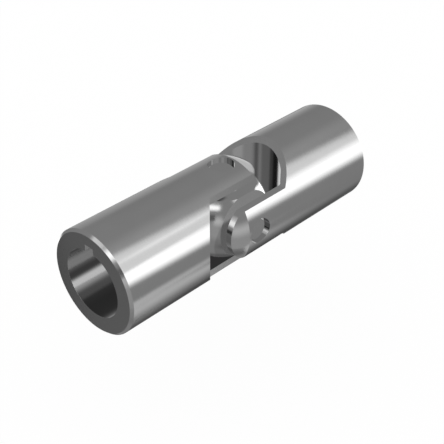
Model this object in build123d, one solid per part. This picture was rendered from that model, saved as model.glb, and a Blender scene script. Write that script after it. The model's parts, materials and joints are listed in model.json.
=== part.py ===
from build123d import *
from math import hypot, radians, sqrt, tan
import os

# Universal joint with plain pins: two equal forked hubs set a quarter turn apart, a ball
# block between their ears, one long pin through the input fork and two short pins in the
# output fork. Sizes are in millimetres.
# The origin is the joint's centre, where the two pin axes cross. +X runs along the shafts
# from the input end to the output end, and +Z along the input fork's pin.

# Hubs
hub_diameter = 20.0
end_chamfer = 0.5
web_thickness = 4.0

# Shaft bore and keyway in each outer end
bore_diameter = 13.0
bore_depth = 15.0
keyway_width = 2.0
keyway_depth = 1.05

# Ears of a fork
ear_thickness = 2.8
ear_width = 10.0
lug_wall = 3.6
ramp_angle = 45.0
nose_rise = 0.4

# Pins
pin_diameter = 5.0
pin_recess = 1.0
pin_chamfer = 0.4

# Block: a round boss about each pin hole bears on an ear and stands on a flat of the ball
boss_wall = 1.5
boss_height = 0.95
flat_rim = 2.5

# Clearances
running_clearance = 0.03
face_clearance = 0.1
pin_gap = 0.3
swing_clearance = 1.6
ramp_clearance = 1.9
slot_corner_clearance = 1.8

# How far a cutting shape passes the surface that it cuts
cut_margin = 1.0

hub_radius = hub_diameter / 2
bore_radius = bore_diameter / 2
pin_radius = pin_diameter / 2

# The nose is turned to a ball about the joint's centre, and the other fork's slot clears it
nose_radius = hub_radius + nose_rise
slot_depth = nose_radius + swing_clearance
slot_width = hub_diameter - 2 * ear_thickness
slot_end_radius = slot_width / 2 + slot_corner_clearance
hub_length = slot_depth + web_thickness + bore_depth

# The ear is a round lug about its pin, then a straight stretch that the other fork swings past
lug_radius = pin_radius + lug_wall
ear_length = lug_radius + ramp_clearance

# The bosses fill the gap between the ears, and the ball passes through the rims of its flats
block_width = slot_width - 2 * face_clearance
block_hole_radius = pin_radius + running_clearance
boss_radius = pin_radius + boss_wall
flats_width = block_width - 2 * boss_height
ball_radius = hypot(flats_width / 2, boss_radius + flat_rim)

# Each pin ends below the hub's outer surface, and the short pins stop short of the long one
pin_end = hub_radius - pin_recess
short_pin_start = pin_radius + pin_gap


def turned_blank():
    """The hub before the fork is cut: a bar with a chamfered outer end and a ball-shaped nose."""
    nose_edge = -sqrt(nose_radius**2 - hub_radius**2)
    middle = Vector(nose_edge - nose_radius, hub_radius).normalized() * nose_radius
    nose = ThreePointArc((-nose_radius, 0), middle, (nose_edge, hub_radius))
    bar = Polyline(
        (nose_edge, hub_radius),
        (hub_length - end_chamfer, hub_radius),
        (hub_length, hub_radius - end_chamfer),
        (hub_length, 0),
        (-nose_radius, 0),
    )
    return revolve(make_face([nose, bar]), Axis.X)


def ear_outline():
    """The fork seen along its pin: round lug, straight ear, and ramps out to the full bar."""
    bar_half = hub_radius + cut_margin
    bar_end = hub_length + cut_margin
    half = ear_width / 2
    ramp_top = ear_length + (bar_half - half) / tan(radians(ramp_angle))
    bar = make_face(
        Polyline(
            (0, half),
            (ear_length, half),
            (ramp_top, bar_half),
            (bar_end, bar_half),
            (bar_end, -bar_half),
            (ramp_top, -bar_half),
            (ear_length, -half),
            (0, -half),
            close=True,
        )
    )
    lug = Circle(lug_radius) & Rectangle(2 * lug_radius, ear_width)
    return bar + lug


def slot_outline():
    """The gap between the ears, seen along the slot, with its hollow round end."""
    half = slot_width / 2
    corner = slot_depth - slot_end_radius + sqrt(slot_end_radius**2 - half**2)
    mouth = -nose_radius - cut_margin
    sides = Polyline((corner, half), (mouth, half), (mouth, -half), (corner, -half))
    end = ThreePointArc((corner, -half), (slot_depth, 0), (corner, half))
    return make_face([sides, end])


def shaft_bore():
    """The blind bore with its keyway, both cut from the outer end."""
    length = bore_depth + cut_margin
    from_end = (Align.MIN, Align.CENTER, Align.MIN)
    bore = Rot(0, 90, 0) * Cylinder(bore_radius, length, align=(Align.CENTER, Align.CENTER, Align.MIN))
    keyway = Box(length, keyway_width, bore_radius + keyway_depth, align=from_end)
    return Pos(hub_length - bore_depth, 0, 0) * (bore + keyway)


def fork_hub():
    """One hub with its nose towards -X, its ears at +Z and -Z, and its keyway at +Z."""
    reach = hub_radius + cut_margin
    hub = turned_blank() & extrude(ear_outline(), reach, both=True)
    hub -= extrude(Plane.XZ * slot_outline(), reach, both=True)
    hub -= Cylinder(pin_radius, 2 * reach)
    hub -= shaft_bore()
    return hub


def ball_block():
    """A ball with four flats and a boss on each, bored right through along both pin axes."""
    block = Sphere(ball_radius) & Box(3 * ball_radius, flats_width, flats_width)
    bosses = Cylinder(boss_radius, block_width)
    hole = Cylinder(block_hole_radius, block_width + cut_margin)
    for turn in (Rot(0, 0, 0), Rot(90, 0, 0)):
        block += turn * bosses
    for turn in (Rot(0, 0, 0), Rot(90, 0, 0)):
        block -= turn * hole
    return block


def pin(start, end):
    """A pin along Z between two heights, chamfered at both ends."""
    rod = Pos(0, 0, (start + end) / 2) * Cylinder(pin_radius, end - start)
    return chamfer(rod.edges().filter_by(GeomType.CIRCLE), pin_chamfer)


def universal_joint():
    """Every piece in its place, by node name."""
    hub = fork_hub()
    short_pin = pin(short_pin_start, pin_end)
    return {
        "input_hub": Rot(0, 0, 180) * hub,
        "output_hub": Rot(-90, 0, 0) * hub,
        "ball_block": ball_block(),
        "long_pin": pin(-pin_end, pin_end),
        "short_pin_front": Rot(90, 0, 0) * short_pin,
        "short_pin_rear": Rot(-90, 0, 0) * short_pin,
    }


os.makedirs("parts", exist_ok=True)
for name, piece in universal_joint().items():
    piece.label = name
    export_step(piece, f"parts/{name}.step")
    print(f"{name}: {piece.volume:.1f} mm3")
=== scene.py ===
# Looks of the universal joint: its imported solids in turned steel, in a plain white studio
import json
from math import cos, radians, sin, tan

import bpy
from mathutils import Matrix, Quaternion, Vector


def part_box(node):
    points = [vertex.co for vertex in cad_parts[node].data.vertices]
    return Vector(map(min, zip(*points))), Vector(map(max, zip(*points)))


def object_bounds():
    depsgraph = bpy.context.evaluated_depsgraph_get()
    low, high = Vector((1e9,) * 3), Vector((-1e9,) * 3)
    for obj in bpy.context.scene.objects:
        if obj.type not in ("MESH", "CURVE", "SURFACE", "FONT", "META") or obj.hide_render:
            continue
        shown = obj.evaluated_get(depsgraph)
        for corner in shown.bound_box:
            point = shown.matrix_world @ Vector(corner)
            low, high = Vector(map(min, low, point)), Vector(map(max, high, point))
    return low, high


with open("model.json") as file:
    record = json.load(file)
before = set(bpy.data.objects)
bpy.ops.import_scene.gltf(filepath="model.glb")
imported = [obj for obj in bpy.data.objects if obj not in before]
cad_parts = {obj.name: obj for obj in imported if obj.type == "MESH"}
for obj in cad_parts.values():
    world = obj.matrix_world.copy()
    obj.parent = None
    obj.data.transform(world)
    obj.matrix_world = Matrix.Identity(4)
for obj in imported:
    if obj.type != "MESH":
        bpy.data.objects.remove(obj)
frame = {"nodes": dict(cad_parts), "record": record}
cad_box = [list(corner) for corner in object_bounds()]

MM = 0.001

# Camera: where it stands, which way it looks, its lens and sensor in millimetres, and the nearest
# and farthest that it sees
CAMERA_PLACE = Vector((-107.24, -104.40, 100.04)) * MM
CAMERA_VIEW = Vector((0.59129, 0.57431, -0.56617))
CAMERA_LENS = 78.157
CAMERA_SENSOR = 36.0
CAMERA_NEAR = 5.0 * MM
CAMERA_FAR = 10.0

# Sizes of the solids, from the frame where it has them. The origin is the joint's centre, the
# shafts lie along X, the input fork's pin along Z and the output fork's pins along Y. The keyway's
# reach is from the bore's wall to just past the keyway's corners.
mount_sizes = {mount["name"]: mount["dims"] for mount in frame["record"]["mounts"]}
HUB_END = cad_box[1][0]
BORE_RADIUS = mount_sizes["input_bore"]["r_mm"] * MM
BORE_DEPTH = mount_sizes["input_bore"]["length_mm"] * MM
KEYWAY_REACH = 1.2 * MM
EAR_FACE = 7.2 * MM
SLOT_CORNER = 8.4 * MM
PIN_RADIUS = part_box("long_pin")[1].x
PIN_CHAMFER = 0.4 * MM
BLOCK_FLAT = 6.15 * MM

# How far to one side of a face a test for it is set, so that all of the face passes. It is more
# for a round face, whose mesh is made of flats.
MARGIN = 0.01 * MM
ROUND_MARGIN = 0.02 * MM

# Tones: the share of light that the steel reflects in the open and on worn edges. The others are
# painted shade, where the rest of the joint shades the steel: in the bore, in the recesses over the
# pins, on the lower ear's inner face and on the block, whose side flats are painted a little lighter
# at the top. The tone on a short pin's rim is a painted reflection of the recess's dark wall.
STEEL_TONE = 0.185
WORN_TONE = 0.23
# Painted shade in the bore, with a darker line across it, and darkest low down
BORE_SHADE_TONE = 0.085
BORE_LINE_SHADE_TONE = 0.038
BORE_LOW_SHADE_TONE = 0.02
# Painted shade in the recesses over the pins, with another tone low down
TOP_RECESS_SHADE_TONE = 0.16
FRONT_RECESS_SHADE_TONE = 0.11
RECESS_LOW_SHADE_TONE = 0.15
# Painted shadow on the lower ear's inner face
LOW_EAR_SHADOW_TONE = 0.025
# Painted reflection of the recess's dark wall, on a short pin's rim
PIN_RIM_REFLECTION_TONE = 0.02
# Painted shade on the block: by its side rims, low down, in the shadow under the input fork's ears, and
# low on its side flats, whose tops are painted a little lighter
BLOCK_RIM_SHADE_TONE = 0.145
BLOCK_LOW_SHADE_TONE = 0.04
TOP_FLAT_SHADOW_TONE = 0.06
FLAT_LIGHT_TONE = 0.205
FLAT_LOW_SHADE_TONE = 0.095

# Where the painted shade and the pin rim's painted reflection start to change, and over what length
# they do. Most are heights. The rim of a pin is by X plus Z, the rim of the block by the size of Y
# plus its slant times Z, and on the block's top flat the end is by X and the front by Y.
BORE_LOW = -4.9 * MM
BORE_LOW_RISE = 1.0 * MM
BORE_LINE = -3.2 * MM
BORE_LINE_END = -1.7 * MM
BORE_LINE_RISE = 1.25 * MM
RECESS_LOW = -1.9 * MM
RECESS_LOW_RISE = 1.1 * MM
PIN_RIM = 0.5 * MM
PIN_RIM_RISE = 1.0 * MM
BLOCK_RIM = 5.5 * MM
BLOCK_RIM_RISE = 0.25 * MM
BLOCK_RIM_SLANT = -0.23
BLOCK_LOW = -5.6 * MM
BLOCK_LOW_RISE = 1.6 * MM
TOP_FLAT_END = -4.0 * MM
TOP_FLAT_END_RISE = 1.5 * MM
TOP_FLAT_FRONT = -4.9 * MM
TOP_FLAT_FRONT_RISE = 0.9 * MM
FLAT_LOW = 2.2 * MM
FLAT_LOW_RISE = 1.0 * MM

# Fine surface of the steel. The tint dims it at a grazing angle. The spreads of the marks and the
# clouds are shares of the tone. Wear is by the cosine between an edge's rounded normal and its
# plain one, and full wear goes its share of the way to the worn tone.
EDGE_TINT = 0.6
ROUGHNESS = 0.11
ROUGHNESS_SPREAD = 0.05
MARK_PITCH = 0.16 * MM
MARK_DETAIL = 3.0
MARK_HEIGHT = 0.004 * MM
MARK_SPREAD = 0.03
CLOUD_SIZE = 5.0 * MM
CLOUD_DETAIL = 4.0
CLOUD_SPREAD = 0.04
EDGE_RADIUS = 0.06 * MM
EDGE_SAMPLES = 4
WORN_START = 0.995
WORN_FULL = 0.9
WORN_SHARE = 0.5

# Studio: the world and the floor are plain white, and cards stand far out round the joint. The
# floor is low enough for a hub that hangs down at the joint's limit.
FLOOR_HEIGHT = -30.0 * MM
FLOOR_SIZE = 4.0
FLOOR_TONE = 0.97
FLOOR_GLOW = 0.94
CARD_DISTANCE = 10.0
CARD_STEP = 0.1

# Cards of light and dark that only reflections show, the nearest first. The notes say where each
# shows most to the camera at rest.
# name: azimuth from +X towards +Y, elevation, width, height and roll in degrees, share of the
# width and of the height over which its edges fade, and level, where 1 is white
CARDS = {
    # The slot's hollow end
    "floor_back": (72, -32, 26, 26, 0, 0.3, 0.3, 2.6),
    # The bars: their lower outline, their crest, the key light's band, and above and below it
    "outline": (44, -35, 52, 38, -34, 0.2, 0.2, 0.25),
    "crest": (-43.5, 42, 14, 12, 16, 0.5, 0.5, 4.3),
    "key": (-52, 12.4, 62, 34.9, -36, 0.15, 0.38, 5.7),
    "upper": (-57.5, 38, 49, 60, 16, 0.2, 0.15, 3.2),
    "lower_side": (-56, -38, 17, 29, -20, 0.35, 0.3, 2.1),
    # The nose of the front ear
    "under": (-90, -68, 60, 44, 0, 0.25, 0.5, 0.6),
    "floor_side": (-97, -14, 44, 40, 0, 0.2, 0.5, 2.05),
    "floor_low": (-90, -49, 60, 82, 0, 0.25, 0.24, 1.3),
    # The bars, well below the key light's band
    "lower": (-58, -56, 50, 44, -42, 0.5, 0.13, 2.1),
    "dark_below": (27, -50, 64, 44, -8, 0.45, 0.45, 0.2),
    # A patch on the ball, and the nose of the top ear
    "end": (-1, -4.5, 50, 14, -41, 0.06, 0.1, 7.0),
    "end_side": (26, 6, 44, 16, -50, 0.1, 0.12, 2.6),
    # The ball and the near end's chamfer
    "front": (-167, 35.3, 56, 22, 14, 0.21, 0.45, 5.5),
    "front_side": (153, 33, 34, 16, 0, 0.3, 0.2, 3.0),
    "front_notch": (-158, 12.5, 18, 18, 10, 0.12, 0.25, 0.47),
    "front_streak": (-143, 6, 26, 36, 0, 0.3, 0.5, 2.2),
    "front_low": (-150, -18, 30, 64, 0, 0.3, 0.35, 1.35),
    # The round end of the front ear
    "back": (143, 16, 22, 26, 0, 0.3, 0.35, 4.2),
    "back_line": (143, -10, 26, 18, 0, 0.3, 0.35, 0.1),
    "low_back": (85, -56, 40, 20, 0, 0.3, 0.3, 0.4),
    # The slot's hollow end, and the flat ring at the near end
    "darkest_back": (100, -32, 26, 40, 0, 0.35, 0.3, 0.04),
    "darker_back": (103.5, -32, 40.5, 40, 0, 0.2, 0.3, 0.2),
    "back_streak": (153.5, -32, 14, 44, 0, 0.5, 0.3, 0.85),
    "back_shade": (164, -32, 14, 44, 0, 0.5, 0.3, 0.36),
    "dark_back": (138, -32, 70, 44, 0, 0.25, 0.3, 0.52),
    # The bars, faint and broad
    "rise_back": (53, -1, 44, 40, 0, 0.5, 0.45, 1.55),
    "rise": (-22, 52, 50, 50, 0, 0.5, 0.5, 1.35),
}


def make_camera():
    data = bpy.data.cameras.new("camera")
    data.sensor_fit = "HORIZONTAL"
    data.sensor_width = CAMERA_SENSOR
    data.lens = CAMERA_LENS
    data.clip_start = CAMERA_NEAR
    data.clip_end = CAMERA_FAR
    camera = bpy.data.objects.new("camera", data)
    camera.location = CAMERA_PLACE
    camera.rotation_mode = "QUATERNION"
    camera.rotation_quaternion = CAMERA_VIEW.to_track_quat("-Z", "Y")
    bpy.context.scene.collection.objects.link(camera)
    bpy.context.scene.camera = camera


def set_input(tree, socket, value):
    """Sets a socket to a number, or links another node's output to it."""
    if isinstance(value, (int, float)):
        socket.default_value = value
    else:
        tree.links.new(value, socket)


def math_node(tree, operation, *values):
    node = tree.nodes.new("ShaderNodeMath")
    node.operation = operation
    for socket, value in zip(node.inputs, values):
        set_input(tree, socket, value)
    return node.outputs[0]


def without_sign(tree, value):
    return math_node(tree, "ABSOLUTE", value)


def above(tree, place, limit):
    return math_node(tree, "GREATER_THAN", place, limit)


def below(tree, place, limit):
    return math_node(tree, "LESS_THAN", place, limit)


def product(tree, first, *others):
    """The product of several values. For tests of place it is 1 where all of them hold."""
    for other in others:
        first = math_node(tree, "MULTIPLY", first, other)
    return first


def blend(tree, share, first, second):
    """Goes from the first value to the second as share goes from 0 to 1."""
    node = tree.nodes.new("ShaderNodeMix")
    for name, value in (("Factor", share), ("A", first), ("B", second)):
        set_input(tree, node.inputs[name], value)
    return node.outputs["Result"]


def ramp(tree, place, start, rise, first, second, interpolation="SMOOTHSTEP"):
    """Goes from the first value to the second as place goes from start through rise."""
    node = tree.nodes.new("ShaderNodeMapRange")
    node.interpolation_type = interpolation
    node.inputs["From Min"].default_value = start
    node.inputs["From Max"].default_value = start + rise
    node.inputs["To Min"].default_value = first
    node.inputs["To Max"].default_value = second
    tree.links.new(place, node.inputs["Value"])
    return node.outputs[0]


def new_material(name):
    material = bpy.data.materials.new(name)
    material.use_nodes = True
    return material, material.node_tree, material.node_tree.nodes["Principled BSDF"]


def mix_surface(tree, share, first, second):
    """The surface goes from the first shader to the second as share goes from 0 to 1."""
    mix = tree.nodes.new("ShaderNodeMixShader")
    for socket, value in zip(mix.inputs, (share, first, second)):
        tree.links.new(value, socket)
    tree.links.new(mix.outputs[0], tree.nodes["Material Output"].inputs["Surface"])


def glow(tree, level):
    emission = tree.nodes.new("ShaderNodeEmission")
    emission.inputs["Strength"].default_value = level
    return emission.outputs[0]


def coordinates(tree, kind):
    """A point's coordinates, whole and by axis. Object coordinates go with the piece as it moves."""
    whole = tree.nodes.new("ShaderNodeTexCoord").outputs[kind]
    split = tree.nodes.new("ShaderNodeSeparateXYZ")
    tree.links.new(whole, split.inputs[0])
    return whole, {axis: split.outputs[axis] for axis in "XYZ"}


def distance_from(tree, first, second):
    """How far a point is from an axis, by its coordinates along the other two."""
    squares = [math_node(tree, "POWER", axis, 2.0) for axis in (first, second)]
    return math_node(tree, "SQRT", math_node(tree, "ADD", *squares))


def noise(tree, dimensions, socket, place, size, detail):
    """Noise over a place, which goes into the socket W in 1D and into Vector in 3D."""
    texture = tree.nodes.new("ShaderNodeTexNoise")
    texture.noise_dimensions = dimensions
    texture.inputs["Scale"].default_value = 1.0 / size
    texture.inputs["Detail"].default_value = detail
    tree.links.new(place, texture.inputs[socket])
    return texture.outputs["Fac"]


def spread(tree, pattern, share):
    """A factor that goes from a share below 1 to a share above it, as the pattern does from 0 to 1."""
    return blend(tree, pattern, 1.0 - share, 1.0 + share)


def worn_edges(tree):
    """Rises from 0 to 1 at the sharp edges, which handling has polished."""
    bevel = tree.nodes.new("ShaderNodeBevel")
    bevel.samples = EDGE_SAMPLES
    bevel.inputs["Radius"].default_value = EDGE_RADIUS
    turn = tree.nodes.new("ShaderNodeVectorMath")
    turn.operation = "DOT_PRODUCT"
    tree.links.new(bevel.outputs[0], turn.inputs[0])
    tree.links.new(tree.nodes.new("ShaderNodeNewGeometry").outputs["Normal"], turn.inputs[1])
    return ramp(tree, turn.outputs["Value"], WORN_START, WORN_FULL - WORN_START, 0.0, 1.0, "LINEAR")


def steel(name, turned_about, shade=None):
    """Steel with fine tool marks round one axis, faint clouds and bright worn edges.

    shade, the painted shade, takes the node tree, the coordinates by axis and the distance from that
    axis, and returns the tone of the steel there, with shade painted into it. It is left out where the
    tone is even."""
    material, tree, shader = new_material(name)
    whole, axes = coordinates(tree, "Object")
    radius = distance_from(tree, *(axes[axis] for axis in "XYZ" if axis != turned_about))
    along = math_node(tree, "ADD", axes[turned_about], radius)
    marks = noise(tree, "1D", "W", along, MARK_PITCH, MARK_DETAIL)
    clouds = noise(tree, "3D", "Vector", whole, CLOUD_SIZE, CLOUD_DETAIL)

    # Painted shade by place, on the pieces that have it
    tone = shade(tree, axes, radius) if shade else STEEL_TONE
    tone = product(tree, tone, spread(tree, clouds, CLOUD_SPREAD), spread(tree, marks, MARK_SPREAD))
    tone = blend(tree, product(tree, worn_edges(tree), WORN_SHARE), tone, WORN_TONE)
    colour = tree.nodes.new("ShaderNodeCombineColor")
    for socket in colour.inputs[:3]:
        tree.links.new(tone, socket)
    tree.links.new(colour.outputs[0], shader.inputs["Base Color"])

    rough = product(tree, math_node(tree, "ADD", clouds, marks), 0.5)
    rough = blend(tree, rough, ROUGHNESS - ROUGHNESS_SPREAD, ROUGHNESS + ROUGHNESS_SPREAD)
    tree.links.new(rough, shader.inputs["Roughness"])
    bump = tree.nodes.new("ShaderNodeBump")
    bump.inputs["Distance"].default_value = MARK_HEIGHT
    tree.links.new(marks, bump.inputs["Height"])
    tree.links.new(bump.outputs[0], shader.inputs["Normal"])
    shader.inputs["Metallic"].default_value = 1.0
    shader.inputs["Specular Tint"].default_value = (EDGE_TINT, EDGE_TINT, EDGE_TINT, 1.0)
    return material


def hub_painted_shade(tree, axes, radius, pin, across, recess_shade_tone):
    """Painted shade: darker in the bore, most of all low down and along a line, and in the recess over
    each pin.

    pin is the axis of the fork's pin, and across the one that is square to it and the shaft."""
    reach = without_sign(tree, axes["X"])
    in_bore = product(
        tree,
        below(tree, radius, BORE_RADIUS + KEYWAY_REACH),
        above(tree, reach, HUB_END - BORE_DEPTH - MARGIN),
        below(tree, reach, HUB_END - MARGIN),
    )
    # Painted shade in the bore: a dark line across it, and darkest low down
    line = product(
        tree,
        ramp(tree, axes["Z"], BORE_LINE, BORE_LINE_RISE, 0.0, 1.0),
        ramp(tree, axes["Z"], BORE_LINE_END, BORE_LINE_RISE, 1.0, 0.0),
    )
    bore = ramp(tree, axes["Z"], BORE_LOW, BORE_LOW_RISE, BORE_LOW_SHADE_TONE, BORE_SHADE_TONE)
    bore = blend(tree, line, bore, BORE_LINE_SHADE_TONE)
    # Painted shade in the recess over each pin
    in_recess = product(
        tree,
        below(tree, distance_from(tree, axes["X"], axes[across]), PIN_RADIUS + ROUND_MARGIN),
        above(tree, without_sign(tree, axes[pin]), EAR_FACE + MARGIN),
    )
    recess = ramp(tree, axes["Z"], RECESS_LOW, RECESS_LOW_RISE, RECESS_LOW_SHADE_TONE, recess_shade_tone)
    return blend(tree, in_bore, blend(tree, in_recess, STEEL_TONE, recess), bore)


# Painted shade in the output hub's bore and in the recess over each pin
def output_painted_shade(tree, axes, radius):
    return hub_painted_shade(tree, axes, radius, "Y", "Z", FRONT_RECESS_SHADE_TONE)


def input_painted_shade(tree, axes, radius):
    """Painted shade as on the output hub, and a painted shadow on the lower ear's inner face."""
    # Painted shadow on the lower ear's inner face
    on_low_ear = product(
        tree,
        below(tree, axes["Z"], 0.0),
        above(tree, axes["Z"], -EAR_FACE - MARGIN),
        below(tree, without_sign(tree, axes["X"]), SLOT_CORNER - MARGIN),
    )
    hub = hub_painted_shade(tree, axes, radius, "Z", "Y", TOP_RECESS_SHADE_TONE)
    return blend(tree, on_low_ear, hub, LOW_EAR_SHADOW_TONE)


def block_painted_shade(tree, axes, radius):
    """Painted shade: darker low down, by the side rims, in the shadow under the input fork's ears, and
    on most of a side flat, whose top is painted a little lighter.
    """
    side = without_sign(tree, axes["Y"])
    # Painted shade by the side rims and low down
    by_rim = math_node(tree, "MULTIPLY_ADD", axes["Z"], BLOCK_RIM_SLANT, side)
    ball = ramp(tree, by_rim, BLOCK_RIM, BLOCK_RIM_RISE, STEEL_TONE, BLOCK_RIM_SHADE_TONE)
    ball = blend(tree, ramp(tree, axes["Z"], BLOCK_LOW, BLOCK_LOW_RISE, 0.0, 1.0), BLOCK_LOW_SHADE_TONE, ball)
    # Painted shadow that the input fork's ears cast on the block's top flat
    under_ear = product(
        tree,
        above(tree, without_sign(tree, axes["Z"]), BLOCK_FLAT - MARGIN),
        ramp(tree, axes["X"], TOP_FLAT_END, TOP_FLAT_END_RISE, 1.0, 0.0),
        ramp(tree, axes["Y"], TOP_FLAT_FRONT, TOP_FLAT_FRONT_RISE, 0.0, 1.0),
    )
    ball = blend(tree, under_ear, ball, TOP_FLAT_SHADOW_TONE)
    # Painted shade low on a side flat, and a little painted light at its top
    flat = ramp(tree, axes["Z"], FLAT_LOW, FLAT_LOW_RISE, FLAT_LOW_SHADE_TONE, FLAT_LIGHT_TONE)
    return blend(tree, above(tree, side, BLOCK_FLAT - MARGIN), ball, flat)


def short_pin_painted_shade(tree, axes, radius):
    """A painted reflection: dark on the rim of the pin's end, where it faces the recess's dark far
    wall.
    """
    on_rim = above(tree, radius, PIN_RADIUS - PIN_CHAMFER + ROUND_MARGIN)
    far_side = math_node(tree, "ADD", axes["X"], axes["Z"])
    # Painted dark reflection where the rim faces the recess's far wall
    facing = product(tree, on_rim, ramp(tree, far_side, PIN_RIM, PIN_RIM_RISE, 0.0, 1.0))
    return blend(tree, facing, STEEL_TONE, PIN_RIM_REFLECTION_TONE)


def dress(node, material):
    """Gives a solid its steel. Reflections don't show the solid, only the studio."""
    piece = frame["nodes"][node]
    piece.visible_glossy = False
    for slot in piece.material_slots:
        slot.material = material


def make_world():
    world = bpy.data.worlds.new("studio")
    world.use_nodes = True
    background = world.node_tree.nodes["Background"]
    background.inputs["Color"].default_value = (1.0, 1.0, 1.0, 1.0)
    background.inputs["Strength"].default_value = 1.0
    bpy.context.scene.world = world


def make_floor():
    """A white floor that shows as white to the camera and keeps a faint shadow.

    Reflections see past it, to the cards that stand lower."""
    bpy.ops.mesh.primitive_plane_add(size=FLOOR_SIZE, location=(0.0, 0.0, FLOOR_HEIGHT))
    floor = bpy.context.object
    floor.name = "floor"
    material, tree, shader = new_material("floor")
    shader.inputs["Base Color"].default_value = (FLOOR_TONE, FLOOR_TONE, FLOOR_TONE, 1.0)
    shader.inputs["Roughness"].default_value = 1.0
    shader.inputs["Specular IOR Level"].default_value = 0.0
    path = tree.nodes.new("ShaderNodeLightPath").outputs
    seen = math_node(tree, "MAXIMUM", path["Is Camera Ray"], path["Is Glossy Ray"])
    seen = math_node(tree, "MAXIMUM", seen, path["Is Transmission Ray"])
    mix_surface(tree, product(tree, seen, FLOOR_GLOW), shader.outputs[0], glow(tree, 1.0))
    floor.data.materials.append(material)
    floor.visible_glossy = False


def fade(tree, place, share):
    """Rises from 0 at both ends of the card to 1 within a share of its size."""
    inset = math_node(tree, "MINIMUM", place, math_node(tree, "SUBTRACT", 1.0, place))
    return ramp(tree, inset, 0.0, share, 0.0, 1.0)


def card_material(name, fade_across, fade_up, level):
    """Light or dark that fades out to nothing at the card's edges."""
    material, tree, shader = new_material(name)
    tree.nodes.remove(shader)
    axes = coordinates(tree, "UV")[1]
    share = product(tree, fade(tree, axes["X"], fade_across), fade(tree, axes["Y"], fade_up))
    clear = tree.nodes.new("ShaderNodeBsdfTransparent").outputs[0]
    mix_surface(tree, share, clear, glow(tree, level))
    return material


def make_card(name, distance, azimuth, elevation, width, height, roll, fade_across, fade_up, level):
    """A card that faces the joint from afar, as wide and high as the angles it is seen under."""
    turn = radians(azimuth)
    tilt = radians(elevation)
    toward = Vector((cos(turn) * cos(tilt), sin(turn) * cos(tilt), sin(tilt)))
    bpy.ops.mesh.primitive_plane_add(size=2.0 * distance)
    card = bpy.context.object
    card.name = f"card_{name}"
    card.scale = (tan(radians(width / 2)), tan(radians(height / 2)), 1.0)
    card.location = toward * distance
    card.rotation_mode = "QUATERNION"
    card.rotation_quaternion = (-toward).to_track_quat("-Z", "Y") @ Quaternion((0, 0, 1), radians(roll))
    card.data.materials.append(card_material(card.name, fade_across, fade_up, level))
    card.visible_camera = False
    card.visible_diffuse = False
    card.visible_shadow = False
    card.visible_transmission = False


make_camera()
dress("input_hub", steel("input_steel", "X", input_painted_shade))
dress("output_hub", steel("output_steel", "X", output_painted_shade))
dress("ball_block", steel("block_steel", "X", block_painted_shade))
dress("long_pin", steel("long_pin_steel", "Z"))
short_pin_steel = steel("short_pin_steel", "Y", short_pin_painted_shade)
dress("short_pin_front", short_pin_steel)
dress("short_pin_rear", short_pin_steel)
make_world()
make_floor()
for index, (name, values) in enumerate(CARDS.items()):
    make_card(name, CARD_DISTANCE + CARD_STEP * index, *values)

bpy.context.scene.view_settings.view_transform = "Standard"
